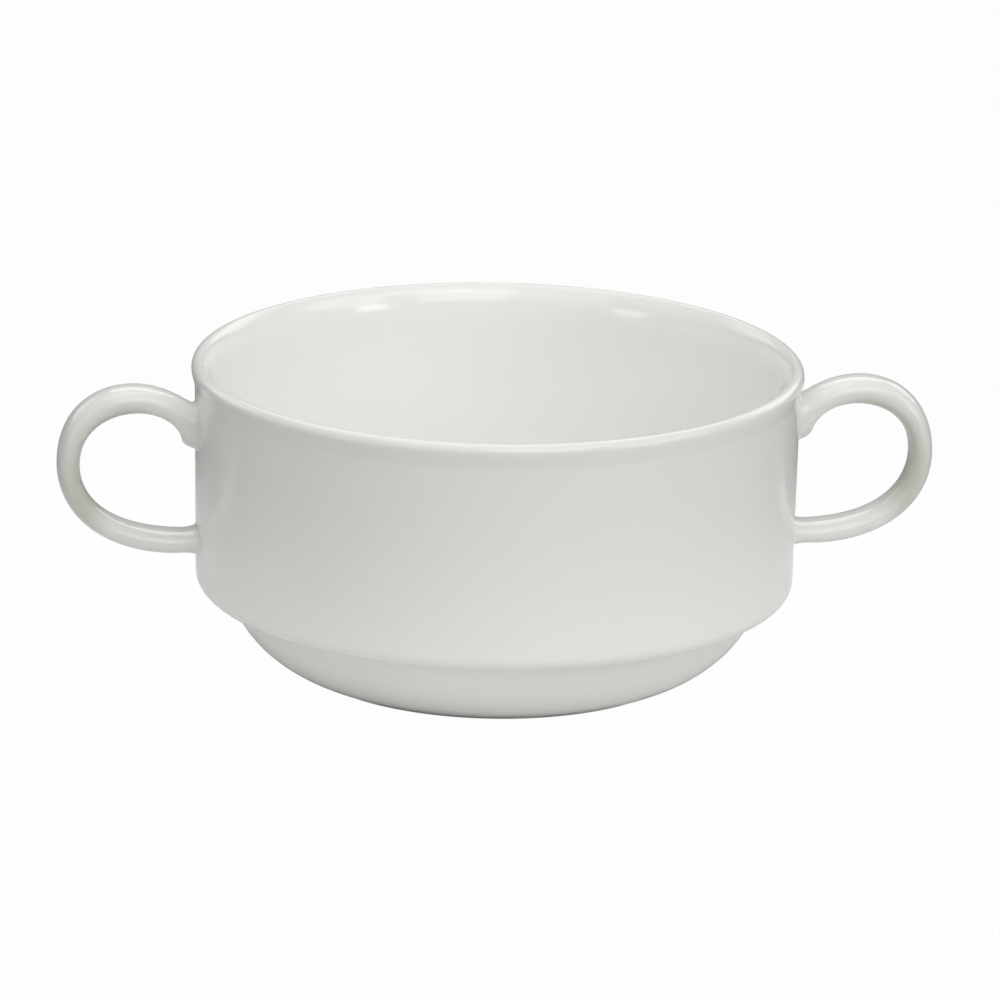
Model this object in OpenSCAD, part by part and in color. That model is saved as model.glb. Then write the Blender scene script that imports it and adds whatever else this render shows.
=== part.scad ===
// Lug soup bowl in glazed porcelain: a round stacking bowl with a strap loop handle on each side.
// Units are millimetres. +Z is up, the handles lie along X, and the origin is the middle of the
// circle on which the foot ring stands.

/* [Bowl] */
// Outer diameter across the lip
rim_d = 105; // [98:1:120]
// Height from the table to the top of the lip
bowl_h = 53.9; // [52:0.1:75]
// Thickness of the side wall
wall_t = 3; // [2.4:0.1:4]
// How much the wall narrows in radius from the lip down to the shoulder
wall_taper = 0.5; // [0:0.1:2]
// Thickness of the floor inside the foot ring
floor_t = 3.8; // [3:0.1:6]
// Radius of the round between inner wall and floor
inner_round = 22.5; // [14:0.5:26]

/* [Lip] */
// Radius of the round on the outside of the lip
lip_round = 1.4; // [0.8:0.1:1.6]
// How far the lip stands out from the wall
lip_stand = 0.6; // [0.2:0.1:1.2]
// Height over which the wall swells into the lip
lip_swell_h = 3.2; // [2:0.1:4]
// Height over which the inner wall eases into the top of the lip
lip_ease_h = 6; // [3:0.1:8]

/* [Stacking foot] */
// Height of the foot section, up to the step under the ledge
step_h = 13; // [10:0.1:14]
// Width of the ledge that rests on the lip of the bowl below
ledge_w = 5.5; // [4:0.1:6.2]
// Rise of the ledge from the step out to the wall
ledge_rise = 1.6; // [1:0.1:2.4]
// Radius of the round between ledge and wall
shoulder_round = 2.6; // [1:0.1:3.4]
// Radius of the curve of the foot section
foot_round = 19.5; // [15:0.5:40]
// Outer diameter of the foot ring where it meets the table
foot_d = 65.8; // [58:0.2:74]
// Width of the flat face that the bowl stands on
foot_face_w = 3; // [2:0.1:5]
// Depth of the hollow inside the foot ring
foot_recess = 2.2; // [1:0.1:3]
// Rise of the underside from the foot ring to its middle
underside_rise = 0.5; // [0:0.1:1]
// Radius of the small rounds on the foot ring
foot_edge_round = 0.4; // [0.2:0.1:0.8]

/* [Handles] */
// How far a handle reaches out from the wall
handle_reach = 23.9; // [20:0.1:32]
// Distance from the top of the lip down to the top of a handle's upper root
handle_drop = 7.1; // [6:0.1:9]
// Height on the wall from the top of the upper root to the bottom of the lower root
handle_h = 25.7; // [23:0.1:27]
// Height from the widest point of the loop up to the top of the upper root
belly_drop = 9.9; // [8:0.1:12]
// Width of the strap
strap_w = 7.7; // [6:0.1:11]
// Thickness of the strap where the loop is widest
strap_t = 3.9; // [3.2:0.1:5]
// Height on the wall of the upper root, which flares downwards into a blunt toe
upper_root_h = 7.1; // [5.5:0.1:8.5]
// How far the toe of the upper root stands off the wall
toe_t = 2.4; // [1.6:0.1:3]
// Height over which the edge of the toe is rounded
toe_rise = 0.9; // [0.5:0.1:1.6]
// Height on the wall of the lower root
lower_root_h = 3.6; // [3:0.1:5]
// How square the strap is in section, from 2 for an ellipse
strap_squareness = 2.4; // [2:0.1:3]

/* [Slip joints] */
// Thickness of the slip between wall and handle
slip_t = 0.4; // [0.2:0.05:0.8]
// How far the wiped fillet spreads onto the wall
slip_reach = 0.7; // [0.4:0.1:1.4]
// Thickness of the fillet at its thin edges
slip_edge = 0.12; // [0.08:0.01:0.2]
// Clearance between a slip joint and what it joins
joint_gap = 0.04; // [0.03:0.01:0.08]

/* [Hidden] */

porcelain = [0.93, 0.92, 0.89];
slip_white = [0.90, 0.89, 0.86];
$fn = 180;

// Radii of the bowl, from the lip down
rim_r = rim_d / 2;
wall_top_r = rim_r - lip_stand;
wall_foot_r = wall_top_r - wall_taper;
step_r = wall_foot_r - ledge_w;
foot_r = foot_d / 2;
recess_r = foot_r - foot_face_w - foot_edge_round;

// Heights of the bowl
lip_mid_z = bowl_h - lip_round;
lip_foot_z = lip_mid_z - lip_swell_h;
ease_foot_z = bowl_h - lip_ease_h;
shoulder_z = step_h + ledge_rise;
floor_z = foot_recess + floor_t;

// Points along the small rounds, the large curves, and the swell and easing of the lip
round_steps = 5;
curve_steps = 16;
swell_steps = 6;
ease_steps = 10;

// Points round the strap's section, steps along each half of the loop and along a root
section_points = 28;
arch_steps = 20;
root_steps = 4;
// How much of its half of the loop the toe takes, and how full its edge is
toe_share = 0.1;
toe_edge_share = 0.78;
// How much of its half of the loop a slip joint grips, at the upper and at the lower root
upper_grip_share = 0.04;
lower_grip_share = 0.024;
// How far from the wall the strap still follows the wall's curve
wrap_reach = 6;

// The loop is drawn between an outer and an inner rail, each of two curves that meet at the belly.
// Outward shares are of the reach, upward shares of belly_drop and downward shares of the rest.
outer_top_shares = [[0.42, 1.75], [1, 1.37]];
outer_low_shares = [[1, 0.66], [0.56, 1.08]];
// Outward shares of the inner reach, and how far the inner rail lies inside the outer one's points
// as shares of the strap's thickness
inner_top_shares = [[0.19, 1.5], [1, 0.66]];
inner_low_shares = [[1, 1.26], [0.8, 1.21]];
// How the wiped fillet thins out along the handle, as shares of its reach
fillet_shares = [0.5, 0.3, 0.16, 0.06, 0];

// Heights of the handle
root_top_z = bowl_h - handle_drop;
root_low_z = root_top_z - handle_h;
belly_z = root_top_z - belly_drop;
belly_to_low = belly_z - root_low_z;
// The handle's ends stand off the wall by the slip and a clearance on each side of it
handle_seat = slip_t + 2 * joint_gap;

// Radius of the outer wall at a height
function wall_r(z) = wall_foot_r + wall_taper * (z - shoulder_z) / (lip_foot_z - shoulder_z);

// Points of an arc about a centre, from one angle to another
function arc(centre, r, from, to, steps) = [
    for (i = [0:steps])
        let (a = from + (to - from) * i / steps)
        centre + r * [cos(a), sin(a)]
];

// Centre of the circle of radius r through a and b, to the left of the way from a to b
function circle_centre(a, b, r) =
    let (d = b - a, half = norm(d) / 2)
    (a + b) / 2 + [-d.y, d.x] / norm(d) * sqrt(max(0, r * r - half * half));

// Arc of radius r from a to b, bulging to the right of the way from a to b
function arc_between(a, b, r, steps) =
    let (
        c = circle_centre(a, b, r),
        from = atan2(a.y - c.y, a.x - c.x),
        to = atan2(b.y - c.y, b.x - c.x)
    )
    arc(c, r, from, to, steps);

// A corner at b, between a and c, rounded with radius r
function rounded_corner(a, b, c, r, steps) =
    let (
        u = (a - b) / norm(a - b),
        v = (c - b) / norm(c - b),
        half = acos(u * v) / 2,
        centre = b + (u + v) / norm(u + v) * r / sin(half),
        start = b + u * r / tan(half),
        from = atan2(start.y - centre.y, start.x - centre.x),
        turn = (u.x * v.y - u.y * v.x > 0 ? -1 : 1) * (180 - 2 * half)
    )
    arc(centre, r, from, from + turn, steps);

// A gentle double bend from a to b that starts and ends upright
function swell(a, b, steps) = [
    for (i = [0:steps])
        let (t = i / steps)
        [a.x + (b.x - a.x) * t * t * (3 - 2 * t), a.y + (b.y - a.y) * t]
];

// A quarter of an oval that starts level at a and ends upright at b
function quarter_oval(a, b, steps) = [
    for (i = [1:steps])
        let (turn = 90 * i / steps)
        [a.x + (b.x - a.x) * sin(turn), b.y + (a.y - b.y) * cos(turn)]
];

// Outline of the bowl from the middle of the underside, out, up over the lip and back inside
function bowl_outline() =
    let (
        underside_mid = [0, foot_recess + underside_rise],
        recess_corner = [recess_r - foot_recess / 2, foot_recess],
        face_in = [recess_r + foot_edge_round, 0],
        face_out = [foot_r - foot_edge_round, 0],
        foot_edge = [foot_r, foot_edge_round],
        step_point = [step_r, step_h],
        shoulder = [wall_foot_r, shoulder_z],
        wall_top = [wall_top_r, lip_foot_z],
        lip_mid = [rim_r - lip_round, lip_mid_z],
        lip_top = [rim_r - lip_round, bowl_h],
        ease_foot = [wall_r(ease_foot_z) - wall_t, ease_foot_z],
        inner_round_z = floor_z + inner_round,
        inner_foot = [wall_r(inner_round_z) - wall_t, inner_round_z]
    )
    concat(
        [underside_mid],
        rounded_corner(underside_mid, recess_corner, [recess_r, 0], foot_edge_round, round_steps),
        rounded_corner(recess_corner, [recess_r, 0], face_in, foot_edge_round / 2, round_steps),
        [face_out],
        arc_between(foot_edge, step_point, foot_round, curve_steps),
        rounded_corner(step_point, shoulder, wall_top, shoulder_round, round_steps),
        swell(wall_top, [rim_r, lip_mid_z], swell_steps),
        [for (p = arc(lip_mid, lip_round, 0, 90, round_steps)) if (p.y > lip_mid_z) p],
        quarter_oval(lip_top, ease_foot, ease_steps),
        arc([inner_foot.x - inner_round, inner_round_z], inner_round, 0, -90, curve_steps),
        [[0, floor_z]]
    );

module bowl_body() {
    color(porcelain)
        rotate_extrude()
            polygon(bowl_outline());
}

// Point of a cubic curve with four control points
function bezier(p, t) =
    pow(1 - t, 3) * p[0] + 3 * pow(1 - t, 2) * t * p[1] + 3 * (1 - t) * t * t * p[2] + pow(t, 3) * p[3];

// Point of a curve from a to c that bends towards b
function arch_of_three(a, b, c, t) = pow(1 - t, 2) * a + 2 * (1 - t) * t * b + t * t * c;

// Where a root's edge starts, at a height on the wall
function root_point(z) = [wall_r(z) + handle_seat, z];

// Outer rail: a place along it runs from 0 at the upper root over 1 at the belly to 2 at the lower one
wall_mid_r = wall_r(belly_z);
outer_belly = [wall_mid_r + handle_reach, belly_z];
function outer_top(i) = [
    wall_mid_r + handle_reach * outer_top_shares[i].x,
    belly_z + belly_drop * outer_top_shares[i].y
];
function outer_low(i) = [
    wall_mid_r + handle_reach * outer_low_shares[i].x,
    belly_z - belly_to_low * outer_low_shares[i].y
];
function outer_rail(s) = s <= 1
    ? bezier([root_point(root_top_z), outer_top(0), outer_top(1), outer_belly], s)
    : bezier([outer_belly, outer_low(0), outer_low(1), root_point(root_low_z)], s - 1);

// Inner rail, which keeps the strap's thickness from the outer one
inner_reach = handle_reach - strap_t;
inner_belly = [wall_mid_r + inner_reach, belly_z];
function inner_top(i) = [
    wall_mid_r + inner_reach * inner_top_shares[i].x,
    outer_top(i).y - strap_t * inner_top_shares[i].y
];
function inner_low(i) = [
    wall_mid_r + inner_reach * inner_low_shares[i].x,
    outer_low(i).y + strap_t * inner_low_shares[i].y
];
toe_z = root_top_z - upper_root_h;
toe_start = root_point(toe_z);
toe_edge = [wall_r(toe_z) + toe_t * toe_edge_share, toe_z];
toe_end = [wall_r(toe_z) + toe_t, toe_z + toe_rise];
function inner_rail(s) = s < toe_share
    ? arch_of_three(toe_start, toe_edge, toe_end, s / toe_share)
    : s <= 1
        ? bezier([toe_end, inner_top(0), inner_top(1), inner_belly], (s - toe_share) / (1 - toe_share))
        : bezier([inner_belly, inner_low(0), inner_low(1), root_point(root_low_z + lower_root_h)], s - 1);

// A cosine or sine bent towards a square
function squared(v, power) = sign(v) * pow(abs(v), power);

// Lays a point of the strap on the wall's curve when it is near the wall
function wrapped(x, y, z) =
    let (r = wall_r(z), near = max(0, 1 - (x - r) / wrap_reach))
    [x - near * (r - sqrt(r * r - y * y)), y, z];

// Section of the strap at a place along the loop, shrunk by scale_share, grown by grow and moved
// out from the wall by shift
function strap_section(s, scale_share = 1, grow = 0, shift = 0) =
    let (
        outer = outer_rail(s),
        inner = inner_rail(s),
        middle = (outer + inner) / 2,
        half_t = norm(outer - inner) / 2,
        half_w = strap_w / 2,
        across = (outer - inner) / norm(outer - inner)
    )
    [
        for (i = [0:section_points - 1])
            let (
                a = 360 * i / section_points,
                u = squared(cos(a), 2 / strap_squareness),
                v = squared(sin(a), 2 / strap_squareness),
                slope = [
                    squared(u, strap_squareness - 1) / half_t,
                    squared(v, strap_squareness - 1) / half_w
                ],
                outward = slope / norm(slope),
                thick = scale_share * half_t * u + grow * outward.x,
                wide = scale_share * half_w * v + grow * outward.y,
                p = middle + across * thick
            )
            wrapped(p.x + shift, wide, p.y)
    ];

// Closed skin over rings of points, with a middle point at each end
module ring_skin(rings, first, last) {
    n = len(rings[0]);
    count = len(rings);
    points = concat([first], [for (ring = rings) each ring], [last]);
    end = len(points) - 1;
    start_fan = [for (i = [0:n - 1]) [0, 1 + (i + 1) % n, 1 + i]];
    sides = [
        for (k = [0:count - 2], i = [0:n - 1])
            let (a = 1 + k * n + i, b = 1 + k * n + (i + 1) % n)
            each [[a, b, b + n], [a, b + n, a + n]]
    ];
    end_fan = [for (i = [0:n - 1]) [end, 1 + (count - 1) * n + i, 1 + (count - 1) * n + (i + 1) % n]];
    polyhedron(points, concat(start_fan, sides, end_fan));
}

// Places along the loop: close together at each root, even along the strap
function spread(from, to, steps) = [for (i = [0:steps]) from + (to - from) * i / steps];
upper_places = spread(0, upper_grip_share, root_steps);
lower_places = spread(2, 2 - lower_grip_share, root_steps);
arch_places = concat(
    [for (i = [1:arch_steps]) upper_grip_share + (1 - upper_grip_share) * i / arch_steps],
    [for (i = [1:arch_steps - 1]) 1 + (1 - lower_grip_share) * i / arch_steps]
);
function backwards(list) = [for (i = [len(list) - 1:-1:0]) list[i]];
loop_places = concat(upper_places, arch_places, backwards(lower_places));

// Middle of a root, as far from the wall as the handle's end
function root_middle(s) =
    let (z = (outer_rail(s).y + inner_rail(s).y) / 2)
    [wall_r(z) + handle_seat, 0, z];

// The handle on the +X side
module strap_handle() {
    ring_skin([for (s = loop_places) strap_section(s)], root_middle(0), root_middle(2));
}

// The slip joint on the +X side round one root: the places that it grips run away from the wall.
// Its skin runs from the wall over the fillet and the grip to the seat of the handle's end.
module slip_joint(places) {
    root = places[0];
    on_wall = joint_gap - handle_seat;
    on_handle = -joint_gap;
    wall_side = [
        strap_section(root, 1 / 2, 0, on_wall),
        strap_section(root, 1, 0, on_wall),
        strap_section(root, 1, slip_reach, on_wall),
        strap_section(root, 1, slip_reach, on_wall + slip_edge)
    ];
    fillet = [
        for (i = [0:root_steps])
            strap_section(places[i], 1, slip_edge + slip_reach * fillet_shares[i])
    ];
    grip = [for (i = [root_steps:-1:0]) strap_section(places[i], 1, joint_gap)];
    seat = [
        strap_section(root, 1, joint_gap, on_handle),
        strap_section(root, 1 / 2, 0, on_handle)
    ];
    rings = concat(wall_side, fillet, grip, seat);
    wall_middle = root_middle(root) + [on_wall, 0, 0];
    seat_middle = root_middle(root) + [on_handle, 0, 0];
    if (root < places[1])
        ring_skin(rings, wall_middle, seat_middle);
    else
        ring_skin(backwards(rings), seat_middle, wall_middle);
}

module handle_right() {
    color(porcelain)
        strap_handle();
}

module handle_left() {
    color(porcelain)
        mirror([1, 0, 0])
            strap_handle();
}

module slip_joint_right_upper() {
    color(slip_white)
        slip_joint(upper_places);
}

module slip_joint_right_lower() {
    color(slip_white)
        slip_joint(lower_places);
}

module slip_joint_left_upper() {
    color(slip_white)
        mirror([1, 0, 0])
            slip_joint(upper_places);
}

module slip_joint_left_lower() {
    color(slip_white)
        mirror([1, 0, 0])
            slip_joint(lower_places);
}

bowl_body();
handle_left();
handle_right();
slip_joint_left_upper();
slip_joint_left_lower();
slip_joint_right_upper();
slip_joint_right_lower();
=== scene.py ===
"""Dresses the lug soup bowl: the glazed bowl, its strap handles and slip joints, in a pale studio.

Lengths are in metres. +Z is up, the handles lie along X, and the bowl stands on the table at Z = 0.
"""

import logging
import math
from dataclasses import dataclass, field
from enum import Enum

import bmesh
import bpy
from mathutils import Matrix, Vector


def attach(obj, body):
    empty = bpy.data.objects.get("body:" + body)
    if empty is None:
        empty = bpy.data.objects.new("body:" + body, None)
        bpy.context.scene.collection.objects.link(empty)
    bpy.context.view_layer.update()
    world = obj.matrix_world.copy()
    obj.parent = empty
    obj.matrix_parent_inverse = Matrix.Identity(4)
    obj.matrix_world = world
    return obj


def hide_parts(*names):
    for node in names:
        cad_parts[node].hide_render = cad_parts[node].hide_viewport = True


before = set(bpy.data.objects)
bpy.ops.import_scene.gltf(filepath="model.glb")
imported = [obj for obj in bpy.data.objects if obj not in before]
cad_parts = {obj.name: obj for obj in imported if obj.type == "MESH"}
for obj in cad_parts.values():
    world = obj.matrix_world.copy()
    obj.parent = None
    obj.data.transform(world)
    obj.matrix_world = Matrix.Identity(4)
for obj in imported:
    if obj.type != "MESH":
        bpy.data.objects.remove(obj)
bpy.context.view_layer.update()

log = logging.getLogger("lug_soup_bowl")

MM = 0.001
WELD = 0.0002 * MM
BODY = "root"


class Side(Enum):
    """The side of the bowl that a handle is on, with the sign of its X."""

    LEFT = -1
    RIGHT = 1

    @property
    def word(self) -> str:
        """The side's name in piece and node names."""
        return self.name.lower()


class Root(Enum):
    """The end of a handle, with its place along the loop."""

    UPPER = 0
    LOWER = 2

    @property
    def word(self) -> str:
        """The root's name in piece and node names."""
        return self.name.lower()

    @property
    def onward(self) -> int:
        """The sign of the way along the loop that leads off the wall."""
        return 1 if self is Root.UPPER else -1


# Finishes


class MaterialBench:
    """Adds the nodes of one material and joins them."""

    def __init__(self, name: str) -> None:
        """Start a material with nothing but its output.

        Args:
            name: the material's name.
        """
        self.material = bpy.data.materials.new(name)
        self.material.use_nodes = True
        self.tree = self.material.node_tree
        self.tree.nodes.clear()
        self.output = self.tree.nodes.new("ShaderNodeOutputMaterial")

    def add(self, kind: str, settings: dict | None = None, **sockets: object) -> bpy.types.Node:
        """Add a node, set its properties, and fill or link its input sockets.

        Args:
            kind: the node's type.
            settings: properties of the node itself.
            sockets: inputs by name with _ for a space, each a value or an output socket.

        Returns:
            The new node.
        """
        node = self.tree.nodes.new(kind)
        for key, value in (settings or {}).items():
            setattr(node, key, value)
        for key, value in sockets.items():
            self.feed(node.inputs[key.replace("_", " ")], value)
        return node

    def feed(self, socket: bpy.types.NodeSocket, value: object) -> None:
        """Link an output socket to an input, or set the input's own value.

        Args:
            socket: the input.
            value: an output socket, or a plain value.
        """
        if isinstance(value, bpy.types.NodeSocket):
            self.tree.links.new(value, socket)
        else:
            socket.default_value = value

    def math(self, operation: str, a: object, b: object = 0.0) -> bpy.types.NodeSocket:
        """Work out one sum of two numbers.

        Args:
            operation: the Math node's operation.
            a: its first input.
            b: its second input.

        Returns:
            The result's socket.
        """
        node = self.add("ShaderNodeMath", {"operation": operation})
        self.feed(node.inputs[0], a)
        self.feed(node.inputs[1], b)
        return node.outputs[0]

    def length(self, vector: bpy.types.NodeSocket) -> bpy.types.NodeSocket:
        """Measure a vector."""
        node = self.add("ShaderNodeVectorMath", {"operation": "LENGTH"}, Vector=vector)
        return node.outputs["Value"]

    def ramp(
        self, value: object, start: float, end: float, low: float = 0.0, high: float = 1.0,
    ) -> bpy.types.NodeSocket:
        """Map a value smoothly from one range to another.

        Args:
            value: what is mapped.
            start: the value that gives low.
            end: the value that gives high.
            low: the result at start.
            high: the result at end.

        Returns:
            The result's socket.
        """
        node = self.add(
            "ShaderNodeMapRange", {"interpolation_type": "SMOOTHSTEP"},
            Value=value, From_Min=start, From_Max=end, To_Min=low, To_Max=high,
        )
        return node.outputs["Result"]

    def noise(self, place: bpy.types.NodeSocket, scale: float, detail: float = 2.0) -> bpy.types.NodeSocket:
        """Make a noise that stays with the piece.

        Args:
            place: Object coordinates.
            scale: how many bumps there are in a metre.
            detail: how many finer layers it has.

        Returns:
            The noise's socket, around a half.
        """
        node = self.add("ShaderNodeTexNoise", None, Vector=place, Scale=scale, Detail=detail)
        return node.outputs["Fac"]

    def blend(self, share: object, first: object, second: object) -> bpy.types.NodeSocket:
        """Mix two colours.

        Args:
            share: how much of the second there is.
            first: a colour or a colour socket.
            second: a colour or a colour socket.

        Returns:
            The mixed colour's socket.
        """
        node = self.add("ShaderNodeMix", {"data_type": "RGBA"})
        self.feed(node.inputs["Factor"], share)
        self.feed(node.inputs[6], first)
        self.feed(node.inputs[7], second)
        return node.outputs[2]

    def between(self, share: object, first: object, second: object) -> bpy.types.NodeSocket:
        """Mix two numbers.

        Args:
            share: how much of the second there is.
            first: a number or a socket.
            second: a number or a socket.

        Returns:
            The mixed number's socket.
        """
        node = self.add("ShaderNodeMix", {"data_type": "FLOAT"})
        self.feed(node.inputs["Factor"], share)
        self.feed(node.inputs[2], first)
        self.feed(node.inputs[3], second)
        return node.outputs[0]

    def bump(self, height: object, depth: float, normal: object = None) -> bpy.types.NodeSocket:
        """Raise a relief in the shading.

        Args:
            height: the relief's height, from 0 to 1.
            depth: how high a height of 1 stands, in metres.
            normal: a relief under it.

        Returns:
            The normal's socket.
        """
        node = self.add("ShaderNodeBump", None, Height=height, Distance=depth, Strength=1)
        if normal is not None:
            self.feed(node.inputs["Normal"], normal)
        return node.outputs["Normal"]


Colour = tuple[float, float, float, float]
WHITE: Colour = (1, 1, 1, 1)


@dataclass(frozen=True)
class PorcelainGlaze:
    """White feldspar glaze on porcelain, glossy, with a faint unevenness from the firing."""

    name: str
    colour: Colour = (0.89, 0.89, 0.86, 1)
    thick_colour: Colour = (0.865, 0.87, 0.835, 1)
    cloud_scale: float = 26
    cloud_detail: float = 3
    cloud_edges: tuple[float, float] = (0.35, 0.7)
    cloud_share: float = 0.35
    gloss: tuple[float, float] = (0.06, 0.11)
    gloss_scale: float = 52
    gloss_edges: tuple[float, float] = (0.3, 0.7)
    refraction: float = 1.5
    wave_scale: float = 75
    wave_depth: float = 0.05 * MM
    peel_scale: float = 900
    peel_depth: float = 0.004 * MM

    def material(self) -> bpy.types.Material:
        """Make the glaze's material.

        Returns:
            The material.
        """
        bench = MaterialBench(self.name)
        place = bench.add("ShaderNodeTexCoord").outputs["Object"]
        colour, roughness, normal = self.coat(bench, place)
        self.finish(bench, colour, roughness, normal)
        return bench.material

    def coat(self, bench: MaterialBench, place: bpy.types.NodeSocket) -> tuple[bpy.types.NodeSocket, ...]:
        """Make the glaze's colour, roughness and relief.

        Args:
            bench: the material's bench.
            place: Object coordinates.

        Returns:
            The sockets of the colour, the roughness and the normal.
        """
        clouds = bench.noise(place, self.cloud_scale, self.cloud_detail)
        share = bench.ramp(clouds, *self.cloud_edges, 0, self.cloud_share)
        colour = bench.blend(share, self.colour, self.thick_colour)
        roughness = bench.ramp(bench.noise(place, self.gloss_scale), *self.gloss_edges, *self.gloss)
        waves = bench.bump(bench.noise(place, self.wave_scale), self.wave_depth)
        normal = bench.bump(bench.noise(place, self.peel_scale), self.peel_depth, waves)
        return colour, roughness, normal

    def finish(self, bench: MaterialBench, colour: object, roughness: object, normal: object) -> None:
        """Join the glaze's parts in its shader.

        Args:
            bench: the material's bench.
            colour: the colour's socket.
            roughness: the roughness's socket.
            normal: the relief's socket.
        """
        shader = bench.add(
            "ShaderNodeBsdfPrincipled", None,
            Base_Color=colour, Roughness=roughness, Normal=normal, IOR=self.refraction,
        )
        bench.tree.links.new(shader.outputs[0], bench.output.inputs["Surface"])


@dataclass(frozen=True)
class HandleGlaze(PorcelainGlaze):
    """The glaze on the handles and their joints, painted a shade darker than the bowl's, with more painted
    shade inside the loop, far from the wall.
    """

    # painted shade: the bowl's glaze made darker on the handles and joints
    colour: Colour = (0.82, 0.82, 0.79, 1)
    thick_colour: Colour = (0.8, 0.805, 0.77, 1)
    # painted shade inside the loop, on the side far from the wall
    loop_shade_colour: Colour = (0.6, 0.6, 0.535, 1)
    loop_x: float = 61.5 * MM
    loop_z: float = 35 * MM
    inner_reach: tuple[float, float] = (14.2 * MM, 11 * MM)
    far_reach: tuple[float, float] = (1 * MM, 8.5 * MM)
    far_rise: float = 0.35

    def coat(self, bench: MaterialBench, place: bpy.types.NodeSocket) -> tuple[bpy.types.NodeSocket, ...]:
        """Make the glaze's colour, roughness and relief, with painted shade inside the loop.

        Args:
            bench: the material's bench.
            place: Object coordinates.

        Returns:
            The sockets of the colour, the roughness and the normal.
        """
        colour, roughness, normal = super().coat(bench, place)
        parts = bench.add("ShaderNodeSeparateXYZ", None, Vector=place)
        beside = bench.math("SUBTRACT", bench.math("ABSOLUTE", parts.outputs["X"]), self.loop_x)
        above = bench.math("SUBTRACT", parts.outputs["Z"], self.loop_z)
        flat = bench.add("ShaderNodeCombineXYZ", None, X=beside, Y=above)
        radius = bench.length(flat.outputs[0])
        far = bench.math("ADD", beside, bench.math("MULTIPLY", above, self.far_rise))
        near_middle = bench.ramp(radius, *self.inner_reach)
        inside = bench.math("MULTIPLY", near_middle, bench.ramp(far, *self.far_reach))
        # painted shade: the colour darkens inside the loop, far from the wall
        return bench.blend(inside, colour, self.loop_shade_colour), roughness, normal


@dataclass(frozen=True)
class BowlGlaze(PorcelainGlaze):
    """The glaze as it lies on the bowl: rougher on the lip, wiped off the foot ring, with painted shade on
    the lip and painted light in the step's crease.
    """

    # painted shade: the lip's colour is darker than the glaze's
    lip_shade_colour: Colour = (0.84, 0.838, 0.808, 1)
    lip_roughness: float = 0.2
    biscuit_colour: Colour = (0.83, 0.815, 0.775, 1)
    biscuit_roughness: float = 0.8
    glaze_line: float = 0.3 * MM
    line_blur: float = 0.12 * MM
    # painted light: a lighter colour in the crease under the step's ledge
    crease_light_reach: float = 1.8 * MM
    crease_light_colour: Colour = (0.93, 0.93, 0.905, 1)
    edge_scale: float = 400
    grain_scale: float = 3500
    grain_depth: float = 0.015 * MM
    lip_z: float = 53.9 * MM
    lip_depth: float = 1.6 * MM
    step_z: float = 13 * MM
    step_r: float = 45.9 * MM

    def material(self) -> bpy.types.Material:
        """Make the glaze's material with its painted light in the step's crease, its rougher lip with painted
        shade, and its bare foot ring.

        Returns:
            The material.
        """
        bench = MaterialBench(self.name)
        place = bench.add("ShaderNodeTexCoord").outputs["Object"]
        colour, roughness, normal = self.coat(bench, place)
        parts = bench.add("ShaderNodeSeparateXYZ", None, Vector=place)
        height = parts.outputs["Z"]
        flat = bench.add("ShaderNodeCombineXYZ", None, X=parts.outputs["X"], Y=parts.outputs["Y"])
        radius = bench.length(flat.outputs[0])

        # painted light: the crease under the step's ledge is made lighter
        off_step = bench.math("ABSOLUTE", bench.math("SUBTRACT", height, self.step_z))
        off_ring = bench.math("ABSOLUTE", bench.math("SUBTRACT", radius, self.step_r))
        off_crease = bench.math("MAXIMUM", off_step, off_ring)
        crease_light = bench.ramp(off_crease, self.crease_light_reach, 0)
        colour = bench.blend(crease_light, colour, self.crease_light_colour)
        # painted shade: a darker colour on the lip, where the glaze is also rougher
        lip_band = bench.ramp(height, self.lip_z - self.lip_depth, self.lip_z)
        colour = bench.blend(lip_band, colour, self.lip_shade_colour)
        roughness = bench.between(lip_band, roughness, self.lip_roughness)

        edge = bench.math("MULTIPLY", bench.noise(place, self.edge_scale), self.line_blur)
        uneven = bench.math("ADD", height, edge)
        bare = bench.ramp(uneven, self.glaze_line + self.line_blur, self.glaze_line)
        colour = bench.blend(bare, colour, self.biscuit_colour)
        roughness = bench.between(bare, roughness, self.biscuit_roughness)
        grain = bench.math("MULTIPLY", bench.noise(place, self.grain_scale), bare)
        normal = bench.bump(grain, self.grain_depth, normal)
        self.finish(bench, colour, roughness, normal)
        return bench.material


@dataclass(frozen=True)
class StudioPaper:
    """White paper on a pale table, which looks white to the camera and keeps the bowl's shadow."""

    name: str = "studio_paper"
    colour: Colour = (0.88, 0.88, 0.88, 1)
    table_colour: Colour = (0.3, 0.3, 0.3, 1)
    paper_edge: tuple[float, float] = (0.08, 0.16)
    white_share: float = 0.975

    def material(self) -> bpy.types.Material:
        """Make the paper's material.

        Returns:
            The material.
        """
        bench = MaterialBench(self.name)
        radius = bench.length(bench.add("ShaderNodeTexCoord").outputs["Object"])
        colour = bench.blend(bench.ramp(radius, *self.paper_edge), self.colour, self.table_colour)
        paper = bench.add("ShaderNodeBsdfDiffuse", None, Color=colour)
        white = bench.add("ShaderNodeEmission", None, Color=WHITE, Strength=1.0)
        rays = bench.add("ShaderNodeLightPath")
        seen = bench.math("MULTIPLY", rays.outputs["Is Camera Ray"], self.white_share)
        mixed = bench.add("ShaderNodeMixShader")
        bench.feed(mixed.inputs[0], seen)
        bench.feed(mixed.inputs[1], paper.outputs[0])
        bench.feed(mixed.inputs[2], white.outputs[0])
        bench.tree.links.new(mixed.outputs[0], bench.output.inputs["Surface"])
        return bench.material


# Shapes


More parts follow.
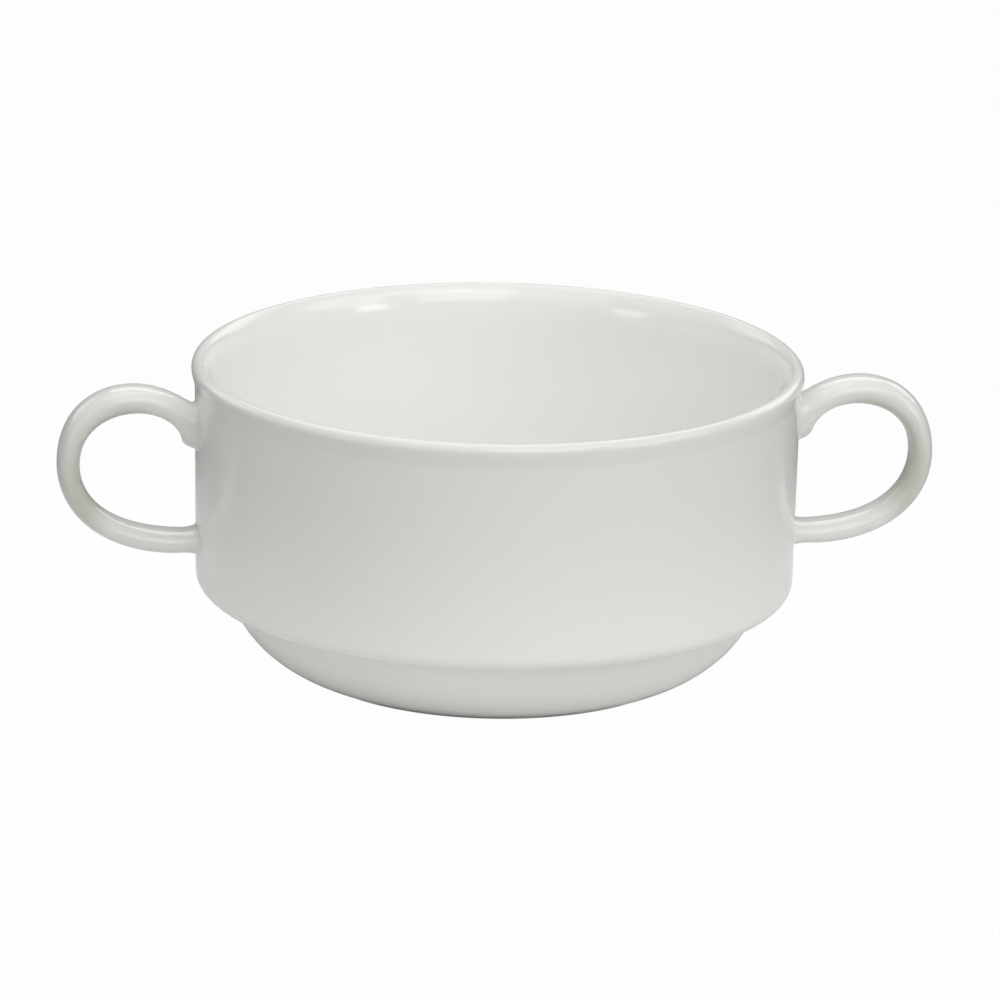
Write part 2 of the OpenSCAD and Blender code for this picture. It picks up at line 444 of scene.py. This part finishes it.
class OutlinePen:
    """Draws an outline in the XZ plane, from its start onward, and turns it into a body of revolution."""

    def __init__(self, x: float, z: float) -> None:
        """Put the pen down.

        Args:
            x: distance from the axis.
            z: height.
        """
        self.bm = bmesh.new()
        self.tip = bmesh.ops.create_vert(self.bm, co=(x, 0, z))["vert"][0]

    def line_to(self, point: Vector) -> None:
        """Draw a straight line.

        Args:
            point: where it ends.
        """
        self.tip = bmesh.ops.extrude_vert_indiv(self.bm, verts=[self.tip])["verts"][0]
        self.tip.co = point

    def arc_about(self, centre: Vector, angle: float, steps: int) -> None:
        """Draw an arc.

        Args:
            centre: its centre.
            angle: how far it turns, to the left where positive, in radians.
            steps: how many edges it has.
        """
        turned = bmesh.ops.spin(
            self.bm, geom=[self.tip], cent=centre, axis=(0, -1, 0), dvec=(0, 0, 0),
            angle=angle, steps=steps, use_duplicate=False,
        )
        self.tip = turned["geom_last"][0]

    def round_to(self, corner: Vector, onward: Vector, radius: float, steps: int) -> None:
        """Draw to a corner and round it.

        Args:
            corner: the corner's sharp point.
            onward: a point to which the outline goes on.
            radius: the round's radius.
            steps: how many edges the round has.
        """
        back = (self.tip.co - corner).normalized()
        ahead = (onward - corner).normalized()
        half = back.angle(ahead) / 2
        self.line_to(corner + back * (radius / math.tan(half)))
        middle = corner + (back + ahead).normalized() * (radius / math.sin(half))
        turn = math.pi - 2 * half
        goes_left = back.x * ahead.z - back.z * ahead.x < 0
        self.arc_about(middle, turn if goes_left else -turn, steps)

    def swell_to(self, point: Vector, start_slope: float, end_slope: float, steps: int) -> None:
        """Draw a gentle double bend.

        Args:
            point: where it ends.
            start_slope: outward change for each unit of height at its start.
            end_slope: the same at its end.
            steps: how many edges it has.
        """
        start = self.tip.co.copy()
        rise = point.z - start.z
        for i in range(1, steps + 1):
            t = i / steps
            x = start.x + (point.x - start.x) * t * t * (3 - 2 * t)
            x += rise * (start_slope * t * (1 - t) ** 2 - end_slope * t * t * (1 - t))
            self.line_to(Vector((x, 0, start.z + rise * t)))

    def ease_to(self, point: Vector, steps: int) -> None:
        """Draw a quarter of an oval that starts level and ends upright.

        Args:
            point: where it ends.
            steps: how many edges it has.
        """
        start = self.tip.co.copy()
        for i in range(1, steps + 1):
            turn = math.pi / 2 * i / steps
            across = start.x + (point.x - start.x) * math.sin(turn)
            self.line_to(Vector((across, 0, point.z + (start.z - point.z) * math.cos(turn))))

    def lathe(self, segments: int) -> bmesh.types.BMesh:
        """Turn the outline once round Z.

        Args:
            segments: how many facets the turn has.

        Returns:
            The closed body.
        """
        outline = self.bm.verts[:] + self.bm.edges[:]
        bmesh.ops.spin(
            self.bm, geom=outline, cent=(0, 0, 0), axis=(0, 0, 1), dvec=(0, 0, 0),
            angle=math.tau, steps=segments, use_merge=True, use_duplicate=False,
        )
        bmesh.ops.remove_doubles(self.bm, verts=self.bm.verts[:], dist=WELD)
        bmesh.ops.recalc_face_normals(self.bm, faces=self.bm.faces[:])
        return self.bm


class RingSkin:
    """Draws a skin over rings of points by extruding one ring into the next."""

    def __init__(self, ring: list[Vector], middle: Vector) -> None:
        """Lay the first ring and close it.

        Args:
            ring: its points in order.
            middle: the point in which its cap closes.
        """
        self.bm = bmesh.new()
        circle = bmesh.ops.create_circle(self.bm, cap_ends=False, radius=1, segments=len(ring))
        self.verts = circle["verts"]
        for vert, point in zip(self.verts, ring):
            vert.co = point
        start = self.verts
        self.close(middle)
        self.verts = start

    def grow(self, ring: list[Vector]) -> None:
        """Extrude the last ring into a new one.

        Args:
            ring: the new ring's points, in the last one's order.
        """
        loop = self.loop_edges()
        grown = bmesh.ops.extrude_edge_only(self.bm, edges=loop)["geom"]
        fresh = {v for v in grown if isinstance(v, bmesh.types.BMVert)}
        partners = [
            next(e.other_vert(v) for e in v.link_edges if e.other_vert(v) in fresh)
            for v in self.verts
        ]
        for vert, point in zip(partners, ring):
            vert.co = point
        self.verts = partners

    def close(self, middle: Vector) -> None:
        """Close the last ring in a middle point.

        Args:
            middle: that point.
        """
        self.grow([middle] * len(self.verts))
        bmesh.ops.pointmerge(self.bm, verts=self.verts, merge_co=middle)

    def loop_edges(self) -> list[bmesh.types.BMEdge]:
        """The edges of the last ring, in order."""
        pairs = zip(self.verts, self.verts[1:] + self.verts[:1])
        return [self.bm.edges.get(pair) for pair in pairs]

    def done(self, side: Side) -> bmesh.types.BMesh:
        """Mirror the skin to its side of the bowl and turn its faces outward.

        Args:
            side: the side.

        Returns:
            The closed body.
        """
        bmesh.ops.scale(self.bm, vec=(side.value, 1, 1), verts=self.bm.verts[:])
        bmesh.ops.recalc_face_normals(self.bm, faces=self.bm.faces[:])
        return self.bm


@dataclass
class Piece:
    """One piece of the bowl, which stands for the CAD node that it is named after."""

    finish: PorcelainGlaze
    slot: str

    @property
    def node(self) -> str:
        """The CAD node that the piece replaces."""
        raise NotImplementedError

    def shape(self) -> bmesh.types.BMesh:
        """The piece's closed mesh, in place."""
        raise NotImplementedError

    def build(self) -> bpy.types.Object:
        """Model the piece, dress it and hang it on its body.

        Returns:
            The piece's object.
        """
        bm = self.shape()
        mesh = bpy.data.meshes.new(f"{self.node}_glazed")
        bm.to_mesh(mesh)
        bm.free()
        mesh.shade_smooth()
        mesh.materials.append(self.finish.material())
        piece = bpy.data.objects.new(mesh.name, mesh)
        bpy.context.scene.collection.objects.link(piece)
        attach(piece, BODY)
        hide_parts(self.node)
        log.info("%s: %d faces", piece.name, len(mesh.polygons))
        return piece


@dataclass
class BowlBody(Piece):
    """The bowl: a straight wall with a soft lip, a stacking ledge and a curved foot section."""

    finish: PorcelainGlaze = field(default_factory=lambda: BowlGlaze("bowl_glaze_white"))
    slot: str = "bowl_glaze"
    rim_r: float = 52.5 * MM
    height: float = 53.9 * MM
    wall: float = 3 * MM
    taper: float = 0.5 * MM
    floor: float = 3.8 * MM
    inner_round: float = 22.5 * MM
    lip_round: float = 1.4 * MM
    lip_stand: float = 0.6 * MM
    lip_swell: float = 3.2 * MM
    lip_ease: float = 6 * MM
    step_z: float = 13 * MM
    ledge: float = 5.5 * MM
    ledge_rise: float = 1.6 * MM
    shoulder_round: float = 2.6 * MM
    step_round: float = 1.2 * MM
    foot_round: float = 19.5 * MM
    foot_r: float = 32.9 * MM
    foot_face: float = 3 * MM
    foot_edge: float = 0.4 * MM
    recess: float = 2.2 * MM
    underside_rise: float = 0.5 * MM
    recess_lean: float = 0.5
    recess_round: float = 0.9 * MM
    round_steps: int = 8
    lip_steps: int = 16
    ease_steps: int = 24
    curve_steps: int = 28
    segments: int = 256

    @property
    def node(self) -> str:
        """The CAD node that the piece replaces."""
        return "bowl_body"

    @property
    def shoulder(self) -> Vector:
        """The sharp corner between ledge and wall."""
        return Vector((self.wall_top.x - self.taper, 0, self.step_z + self.ledge_rise))

    @property
    def wall_top(self) -> Vector:
        """The place where the wall starts to swell into the lip."""
        return Vector((self.rim_r - self.lip_stand, 0, self.height - self.lip_round - self.lip_swell))

    def wall_r(self, z: float) -> float:
        """Radius of the outer wall.

        Args:
            z: the height.

        Returns:
            The radius there.
        """
        return self.shoulder.x + self.slope * (z - self.shoulder.z)

    @property
    def slope(self) -> float:
        """How much the wall widens in radius for each unit of height."""
        return self.taper / (self.wall_top.z - self.shoulder.z)

    def shape(self) -> bmesh.types.BMesh:
        """Draw the outline from the underside's middle over the lip to the floor's middle, and turn it.

        Returns:
            The bowl's mesh.
        """
        face_in = self.foot_r - self.foot_edge - self.foot_face
        face_out = self.foot_r - self.foot_edge
        pen = OutlinePen(0, self.recess + self.underside_rise)
        self.draw_recess(pen, face_in)
        inner_edge = Vector((face_in, 0, 0))
        pen.round_to(inner_edge, Vector((face_out, 0, 0)), self.foot_edge / 2, self.round_steps)
        foot_edge = Vector((self.foot_r, 0, self.foot_edge))
        pen.round_to(Vector((face_out, 0, 0)), foot_edge, self.foot_edge, self.round_steps)
        self.draw_foot_section(pen, foot_edge)
        pen.round_to(self.shoulder, self.wall_top, self.shoulder_round, self.round_steps)
        pen.line_to(self.wall_top)
        self.draw_lip(pen)
        self.draw_hollow(pen)
        return pen.lathe(self.segments)

    def draw_recess(self, pen: OutlinePen, face_in: float) -> None:
        """Draw the hollow underside inside the foot ring.

        Args:
            pen: the outline's pen.
            face_in: inner radius of the face that the bowl stands on.
        """
        corner = Vector((face_in - self.recess * self.recess_lean, 0, self.recess))
        pen.round_to(corner, Vector((face_in, 0, 0)), self.recess_round, self.round_steps)

    def draw_foot_section(self, pen: OutlinePen, start: Vector) -> None:
        """Draw the curve from the foot ring up to the step, and the soft corner that the glaze fills.

        Args:
            pen: the outline's pen.
            start: outer edge of the foot ring.
        """
        pen.line_to(start)
        step = Vector((self.shoulder.x - self.ledge, 0, self.step_z))
        way = step - start
        half = way.length / 2
        left = Vector((-way.z, 0, way.x)).normalized()
        centre = (start + step) / 2 + left * math.sqrt(self.foot_round**2 - half**2)
        turn = 2 * math.asin(half / self.foot_round)
        shy = self.step_round / self.foot_round
        pen.arc_about(centre, turn - shy, self.curve_steps)
        pen.round_to(step, self.shoulder, self.step_round, self.round_steps)

    def draw_lip(self, pen: OutlinePen) -> None:
        """Draw the swell out to the lip, its round, and the long easing into the inner wall.

        Args:
            pen: the outline's pen.
        """
        lip_z = self.height - self.lip_round
        pen.swell_to(Vector((self.rim_r, 0, lip_z)), self.slope, 0, self.lip_steps)
        crest = Vector((self.rim_r - self.lip_round, 0, self.height))
        pen.arc_about(Vector((crest.x, 0, lip_z)), math.pi / 2, self.lip_steps)
        inner_z = self.height - self.lip_ease
        pen.ease_to(Vector((self.wall_r(inner_z) - self.wall, 0, inner_z)), self.ease_steps)

    def draw_hollow(self, pen: OutlinePen) -> None:
        """Draw the inner wall, the large round and the floor.

        Args:
            pen: the outline's pen.
        """
        floor_z = self.recess + self.floor
        corner = Vector((self.wall_r(floor_z) - self.wall, 0, floor_z))
        pen.round_to(corner, Vector((0, 0, floor_z)), self.inner_round, self.curve_steps)
        pen.line_to(Vector((0, 0, floor_z)))


def bezier(points: list[Vector], t: float) -> Vector:
    """Find a point of a cubic curve.

    Args:
        points: its four control points.
        t: the share of the way along it.

    Returns:
        The point.
    """
    a, b, c, d = points
    return a * (1 - t) ** 3 + b * (3 * t * (1 - t) ** 2) + c * (3 * t * t * (1 - t)) + d * t**3


def squared(value: float, power: float) -> float:
    """Bend a sine or cosine towards a square, keeping its sign."""
    return math.copysign(abs(value) ** power, value)


Shares = tuple[tuple[float, float], tuple[float, float]]


@dataclass(frozen=True)
class StrapLoop:
    """The run of a strap handle on the +X side: a flat oval strap between an outer and an inner rail.

    A place along the loop runs from 0 at the upper root over 1 at the belly to 2 at the lower root.
    """

    bowl: BowlBody
    reach: float = 23.9 * MM
    drop: float = 7.1 * MM
    root_span: float = 25.7 * MM
    belly_drop: float = 9.9 * MM
    width: float = 7.7 * MM
    thickness: float = 3.9 * MM
    upper_root: float = 7.1 * MM
    lower_root: float = 3.6 * MM
    toe: float = 2.4 * MM
    toe_rise: float = 0.9 * MM
    toe_share: float = 0.1
    toe_edge_share: float = 0.78
    seat: float = 0.48 * MM
    squareness: float = 2.4
    wrap_reach: float = 6 * MM
    outer_top: Shares = ((0.42, 1.75), (1, 1.37))
    outer_low: Shares = ((1, 0.66), (0.56, 1.08))
    inner_top: Shares = ((0.19, 1.5), (1, 0.66))
    inner_low: Shares = ((1, 1.26), (0.8, 1.21))
    section_points: int = 48

    @property
    def top_z(self) -> float:
        """Height of the top of the upper root."""
        return self.bowl.height - self.drop

    @property
    def low_z(self) -> float:
        """Height of the bottom of the lower root."""
        return self.top_z - self.root_span

    @property
    def belly_z(self) -> float:
        """Height at which the loop is widest."""
        return self.top_z - self.belly_drop

    def root_point(self, z: float) -> Vector:
        """The place where a rail starts, just off the wall at a height."""
        return Vector((self.bowl.wall_r(z) + self.seat, 0, z))

    def outer_guides(self, shares: Shares, rise: float) -> list[Vector]:
        """Control points of the outer rail between its ends.

        Args:
            shares: outward shares of the reach and upward shares of the rise.
            rise: height to which the upward shares refer.

        Returns:
            The two points.
        """
        wall = self.bowl.wall_r(self.belly_z)
        return [Vector((wall + self.reach * x, 0, self.belly_z + rise * z)) for x, z in shares]

    def inner_guides(self, shares: Shares, outer: list[Vector], inward: float) -> list[Vector]:
        """Control points of the inner rail between its ends.

        Args:
            shares: outward shares of the inner reach, and shares of the thickness to lie inside by.
            outer: the outer rail's control points.
            inward: -1 above the belly, where inward is down, and 1 below it.

        Returns:
            The two points.
        """
        wall = self.bowl.wall_r(self.belly_z)
        inner_reach = self.reach - self.thickness
        return [
            Vector((wall + inner_reach * x, 0, guide.z + inward * self.thickness * z))
            for (x, z), guide in zip(shares, outer)
        ]

    def rail(self, place: float) -> tuple[Vector, Vector]:
        """Find both rails at a place along the loop.

        Args:
            place: the place.

        Returns:
            The points of the outer and the inner rail.
        """
        wall = self.bowl.wall_r(self.belly_z)
        outer_belly = Vector((wall + self.reach, 0, self.belly_z))
        inner_belly = outer_belly - Vector((self.thickness, 0, 0))
        top = self.outer_guides(self.outer_top, self.belly_drop)
        low = self.outer_guides(self.outer_low, self.low_z - self.belly_z)
        if place > 1:
            t = place - 1
            inner_end = self.root_point(self.low_z + self.lower_root)
            outer = bezier([outer_belly, *low, self.root_point(self.low_z)], t)
            guides = self.inner_guides(self.inner_low, low, 1)
            return outer, bezier([inner_belly, *guides, inner_end], t)
        outer = bezier([self.root_point(self.top_z), *top, outer_belly], place)
        if place < self.toe_share:
            return outer, self.toe_edge(place / self.toe_share)
        t = (place - self.toe_share) / (1 - self.toe_share)
        guides = self.inner_guides(self.inner_top, top, -1)
        return outer, bezier([self.toe_edge(1), *guides, inner_belly], t)

    def toe_edge(self, t: float) -> Vector:
        """Find a point of the blunt toe in which the upper root ends.

        Args:
            t: the share of the way from the wall to the end of the toe's round.

        Returns:
            The point.
        """
        toe_z = self.top_z - self.upper_root
        wall = self.bowl.wall_r(toe_z)
        start = self.root_point(toe_z)
        edge = Vector((wall + self.toe * self.toe_edge_share, 0, toe_z))
        end = Vector((wall + self.toe, 0, toe_z + self.toe_rise))
        return start * (1 - t) ** 2 + edge * (2 * t * (1 - t)) + end * t * t

    def section(self, place: float, share: float = 1, grow: float = 0, shift: float = 0) -> list[Vector]:
        """Find the strap's section at a place along the loop.

        Args:
            place: the place.
            share: how much of its size the section keeps.
            grow: how far it stands out from the strap.
            shift: how far it is moved off the wall.

        Returns:
            The section's points in order.
        """
        outer, inner = self.rail(place)
        middle = (outer + inner) / 2
        half_t = (outer - inner).length / 2
        half_w = self.width / 2
        across = (outer - inner).normalized()
        ring = []
        for i in range(self.section_points):
            angle = math.tau * i / self.section_points
            u = squared(math.cos(angle), 2 / self.squareness)
            v = squared(math.sin(angle), 2 / self.squareness)
            outward = Vector((
                squared(u, self.squareness - 1) / half_t,
                squared(v, self.squareness - 1) / half_w,
            )).normalized()
            point = middle + across * (share * half_t * u + grow * outward.x)
            ring.append(self.wrapped(point.x + shift, share * half_w * v + grow * outward.y, point.z))
        return ring

    def wrapped(self, x: float, y: float, z: float) -> Vector:
        """Lay a point of the strap on the wall's curve where it is near the wall.

        Args:
            x: distance out along the handle.
            y: distance to the side.
            z: height.

        Returns:
            The point.
        """
        r = self.bowl.wall_r(z)
        near = max(0.0, 1 - (x - r) / self.wrap_reach)
        return Vector((x - near * (r - math.sqrt(r * r - y * y)), y, z))

    def root_middle(self, place: float, shift: float = 0) -> Vector:
        """Find the middle of a root.

        Args:
            place: the root's place.
            shift: how far it is moved off the wall.

        Returns:
            The point.
        """
        outer, inner = self.rail(place)
        z = (outer.z + inner.z) / 2
        return Vector((self.bowl.wall_r(z) + self.seat + shift, 0, z))


@dataclass
class StrapHandle(Piece):
    """A strap loop handle, from its seat on the upper slip joint round to its seat on the lower one."""

    side: Side = Side.RIGHT
    loop: StrapLoop | None = None
    toe_steps: int = 12
    arch_steps: int = 72

    @property
    def node(self) -> str:
        """The CAD node that the piece replaces."""
        return f"handle_{self.side.word}"

    def places(self) -> list[float]:
        """The places along the loop at which the strap has a section, closer together in the toe."""
        toe_end = self.loop.toe_share
        toe = [toe_end * i / self.toe_steps for i in range(self.toe_steps)]
        arch = [toe_end + (2 - toe_end) * i / self.arch_steps for i in range(self.arch_steps + 1)]
        return toe + arch

    def shape(self) -> bmesh.types.BMesh:
        """Skin the strap from root to root.

        Returns:
            The handle's mesh.
        """
        first, *others = self.places()
        skin = RingSkin(self.loop.section(first), self.loop.root_middle(first))
        for place in others:
            skin.grow(self.loop.section(place))
        skin.close(self.loop.root_middle(others[-1]))
        return skin.done(self.side)


@dataclass
class SlipJoint(Piece):
    """The wiped slip between wall and handle, a small cove all round the root under the same glaze."""

    side: Side = Side.RIGHT
    root: Root = Root.UPPER
    loop: StrapLoop | None = None
    cove: float = 0.75 * MM
    tuck: float = 0.012 * MM
    end_tuck: float = 0.12 * MM
    under_wall: float = 0.3 * MM
    core_share: float = 0.5
    grips: tuple[float, float] = (0.07, 0.06)
    cove_steps: int = 12

    @property
    def node(self) -> str:
        """The CAD node that the piece replaces."""
        return f"slip_joint_{self.side.word}_{self.root.word}"

    @property
    def grip(self) -> float:
        """How far along the loop the joint reaches."""
        return self.grips[0] if self.root is Root.UPPER else self.grips[1]

    def cove_ring(self, share: float) -> list[Vector]:
        """Find one ring of the cove.

        Args:
            share: the share of the way from the wall to the cove's end on the strap.

        Returns:
            The ring's points.
        """
        start = self.root.value
        end = start + self.root.onward * self.grip
        span = self.loop.rail(end)[0].x - self.loop.rail(start)[0].x
        out = share * (self.loop.seat + span)
        grow = self.cove * (1 - math.sqrt(1 - (1 - share) ** 2)) - self.tuck * share
        if out < self.loop.seat:
            return self.loop.section(start, 1, grow, out - self.loop.seat)
        place = start + (end - start) * (out - self.loop.seat) / span
        return self.loop.section(place, 1, grow)

    def shape(self) -> bmesh.types.BMesh:
        """Skin the joint from inside the wall, out over the cove and back inside the strap.

        Returns:
            The joint's mesh.
        """
        start = self.root.value
        end = start + self.root.onward * self.grip
        under = -self.loop.seat - self.tuck
        core = self.loop.section(start, self.core_share, 0, under)
        skin = RingSkin(core, self.loop.root_middle(start, under))
        skin.grow(self.loop.section(start, 1, self.cove + self.under_wall, under))
        for i in range(self.cove_steps + 1):
            skin.grow(self.cove_ring(i / self.cove_steps))
        skin.grow(self.loop.section(end, 1, -self.end_tuck))
        skin.grow(self.loop.section(start, self.core_share, 0, self.tuck))
        skin.close(self.loop.root_middle(start, self.tuck))
        return skin.done(self.side)


# Studio


@dataclass(frozen=True)
class Softbox:
    """A softbox that looks at the bowl."""

    name: str
    azimuth: float
    elevation: float
    distance: float
    width: float
    height: float
    watts: float
    aim: tuple[float, float, float] = (0, 0, 0.03)

    def place(self) -> None:
        """Hang the softbox. Azimuth 0 is in front of the bowl, and 90 on its right."""
        lamp = bpy.data.lights.new(self.name, "AREA")
        lamp.shape = "RECTANGLE"
        lamp.size = self.width
        lamp.size_y = self.height
        lamp.energy = self.watts
        rig = bpy.data.objects.new(self.name, lamp)
        bpy.context.scene.collection.objects.link(rig)
        a, e = math.radians(self.azimuth), math.radians(self.elevation)
        way = Vector((math.sin(a) * math.cos(e), -math.cos(a) * math.cos(e), math.sin(e)))
        rig.location = Vector(self.aim) + way * self.distance
        rig.rotation_euler = way.to_track_quat("Z", "Y").to_euler()


@dataclass(frozen=True)
class Viewpoint:
    """The camera, which looks down on the bowl from a little to the left of its front."""

    elevation: float = 16.51
    azimuth: float = -7.0
    roll: float = 1.11
    distance: float = 1.6073
    lens: float = 336.41
    sensor_width: float = 36
    sight: float = 50
    aim_right: float = 0.774 * MM
    aim_z: float = 29.11 * MM

    def place(self) -> None:
        """Set the camera up and make it the scene's."""
        a, e, r = (math.radians(x) for x in (self.azimuth, self.elevation, self.roll))
        back = Vector((math.sin(a) * math.cos(e), -math.cos(a) * math.cos(e), math.sin(e)))
        level = Vector((math.cos(a), math.sin(a), 0))
        rise = back.cross(level)
        right = level * math.cos(r) + rise * math.sin(r)
        up = rise * math.cos(r) - level * math.sin(r)
        aim = level * self.aim_right + Vector((0, 0, self.aim_z))
        data = bpy.data.cameras.new("viewpoint")
        data.lens = self.lens
        data.sensor_width = self.sensor_width
        data.clip_end = self.sight
        camera = bpy.data.objects.new("viewpoint", data)
        bpy.context.scene.collection.objects.link(camera)
        turn = Matrix((right, up, back)).transposed().to_4x4()
        camera.matrix_world = Matrix.Translation(aim + back * self.distance) @ turn
        bpy.context.scene.camera = camera


@dataclass(frozen=True)
class Studio:
    """The pale floor, the softboxes and the even light of the room."""

    floor_size: float = 6.0
    paper: StudioPaper = StudioPaper()
    room_light: float = 0.01
    room_shine: float = 0.2
    softboxes: tuple[Softbox, ...] = (
        Softbox("overhead_softbox", 0, 90, 0.7, 0.6, 0.6, 0.7),
        Softbox("left_overhead_softbox", -90, 74, 0.8, 0.6, 0.6, 1.3),
        Softbox("rear_overhead_softbox", 173, 70, 0.8, 0.8, 0.6, 0.2),
        Softbox("key_softbox", 62, 30, 1.4, 0.9, 0.9, 4.0),
        Softbox("high_key_softbox", 18, 52, 1.2, 0.9, 0.6, 2.66),
        Softbox("low_key_softbox", 46, 8, 1.4, 0.36, 0.26, 1.2),
        Softbox("fill_softbox", -35, 30, 1.4, 0.9, 0.9, 2.1),
        Softbox("low_fill_softbox", -62, 8, 1.4, 0.36, 0.26, 0.9),
        Softbox("front_softbox", 8, 30, 1.4, 0.9, 0.9, 4.8),
        Softbox("left_softbox", -90, 30, 1.4, 0.9, 0.9, 1.3),
        Softbox("rear_softbox", 173, 45, 1.3, 0.9, 0.6, 3.2),
        Softbox("rear_right_softbox", 135, 25, 1.4, 0.8, 0.6, 2.5),
        Softbox("rear_left_softbox", -135, 25, 1.4, 0.8, 0.6, 2.1),
    )

    def build(self) -> None:
        """Lay the floor, hang the softboxes and light the room."""
        bpy.context.scene.view_settings.view_transform = "Standard"
        bm = bmesh.new()
        bmesh.ops.create_grid(bm, x_segments=1, y_segments=1, size=self.floor_size / 2)
        mesh = bpy.data.meshes.new("studio_floor")
        bm.to_mesh(mesh)
        bm.free()
        mesh.materials.append(self.paper.material())
        floor = bpy.data.objects.new("studio_floor", mesh)
        bpy.context.scene.collection.objects.link(floor)
        for softbox in self.softboxes:
            softbox.place()
        self.light_room()
        log.info("studio: floor and %d softboxes", len(self.softboxes))

    def light_room(self) -> None:
        """Give the room a faint light, a grey wall to the glaze's shine and a white one to the camera."""
        world = bpy.data.worlds.new("studio_room")
        world.use_nodes = True
        tree = world.node_tree
        tree.nodes.clear()
        rays = tree.nodes.new("ShaderNodeLightPath")
        wall = self.room_wall(tree, self.room_light)
        for ray, strength in (("Is Glossy Ray", self.room_shine), ("Is Camera Ray", 1.0)):
            mixed = tree.nodes.new("ShaderNodeMixShader")
            tree.links.new(rays.outputs[ray], mixed.inputs[0])
            tree.links.new(wall, mixed.inputs[1])
            tree.links.new(self.room_wall(tree, strength), mixed.inputs[2])
            wall = mixed.outputs[0]
        output = tree.nodes.new("ShaderNodeOutputWorld")
        tree.links.new(wall, output.inputs["Surface"])
        bpy.context.scene.world = world

    @staticmethod
    def room_wall(tree: bpy.types.NodeTree, strength: float) -> bpy.types.NodeSocket:
        """Make a white wall of the room, as bright as the strength."""
        wall = tree.nodes.new("ShaderNodeBackground")
        wall.inputs["Color"].default_value = WHITE
        wall.inputs["Strength"].default_value = strength
        return wall.outputs[0]


def main() -> None:
    """Build the studio, the camera and each piece of the bowl."""
    logging.basicConfig(level=logging.INFO, format="%(message)s")
    Viewpoint().place()
    Studio().build()
    bowl = BowlBody()
    bowl.build()
    loop = StrapLoop(bowl)
    for side in Side:
        StrapHandle(HandleGlaze(f"handle_glaze_{side.word}"), "handle_glaze", side, loop).build()
        for root in Root:
            glaze = HandleGlaze(f"joint_glaze_{side.word}_{root.word}")
            SlipJoint(glaze, "joint_glaze", side, root, loop).build()


if __name__ == "__main__":
    main()
